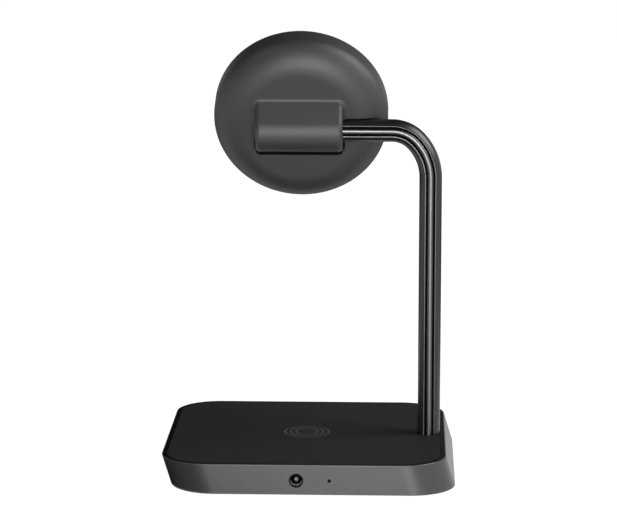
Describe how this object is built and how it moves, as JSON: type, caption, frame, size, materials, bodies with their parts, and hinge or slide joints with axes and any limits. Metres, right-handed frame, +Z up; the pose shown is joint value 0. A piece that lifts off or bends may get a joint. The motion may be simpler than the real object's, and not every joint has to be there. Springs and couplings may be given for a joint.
{
  "type": "two-in-one wireless charger",
  "caption": "Desk charger: a low square base with a flat charging plate for an earbud case, and a bent tube arm that holds a tilting round magnetic head for a phone.",
  "frame": {"origin": "middle of the base's outline, on the surface that the charger stands on", "axes": "+Z up, -Y out of the phone side, +Y out of the power socket side, +X away from the arm"},
  "size_m": [0.1032, 0.0952, 0.1565],
  "materials": {
    "casing": "bead-blasted, dark grey anodised",
    "trim": "smooth black",
    "plate": "fine matte, dark grey",
    "mark": "printed, mid grey",
    "base_plastic": "moulded",
    "screw": "plated",
    "foot": "matte",
    "ballast": "raw plate",
    "board": "solder mask",
    "inductor": "pressed powder",
    "chip": "moulded",
    "capacitor": "bare",
    "connector": "moulded",
    "jack": "moulded",
    "plated": "nickel plated",
    "light_pipe": "clear moulded",
    "led": "moulded",
    "copper": "wound enamelled wire",
    "ferrite": "sintered",
    "socket_metal": "die cast",
    "arm": "satin black",
    "strip": "gloss black",
    "lead": "jacketed",
    "hinge_steel": "turned and pressed",
    "washer": "low friction",
    "head_plastic": "fine matte, dark grey",
    "rim": "fine matte, near black",
    "pad": "soft matte",
    "frame_plastic": "moulded",
    "magnet": "nickel plated",
    "shield": "sheet"
  },
  "bodies": {
    "stand": {"base_casing": "casing", "top_trim": "trim", "top_plate": "plate", "ring_mark": "mark", "bottom_cover": "base_plastic", "cover_screws": "screw", "foot_pad": "foot", "ballast_plate": "ballast", "main_board": "board", "board_screws": "screw", "power_inductor": "inductor", "controller_chip": "chip", "capacitors": "capacitor", "lead_connector": "connector", "jack_body": "jack", "jack_pin": "plated", "jack_contact": "plated", "light_pipe": "light_pipe", "status_led": "led", "pad_coil": "copper", "pad_ferrite": "ferrite", "coil_carrier": "base_plastic", "stem_socket": "socket_metal", "socket_screws": "screw", "set_screws": "screw", "arm_tube": "arm", "arm_strip": "strip", "arm_lead": "lead", "hinge_shaft": "hinge_steel", "friction_washers": "washer", "disc_springs": "hinge_steel", "hinge_nut": "screw"},
    "head": {"back_cover": "head_plastic", "hinge_bracket": "hinge_steel", "bracket_screws": "screw", "front_frame": "rim", "face_pad": "pad", "coil_frame": "frame_plastic", "magnet_yoke": "hinge_steel", "magnet_ring": "magnet", "ferrite_disc": "ferrite", "charging_coil": "copper", "shield_plate": "shield", "head_board": "board", "head_screws": "screw", "head_chips": "chip", "head_connector": "connector", "head_lead": "lead"}
  },
  "joints": [
    {"name": "head_tilt", "type": "hinge", "parent": "stand", "child": "head", "pos_m": [0, 0, 0.1214], "axis": [-1, 0, 0], "range_deg": [-21, 24]}
  ]
}
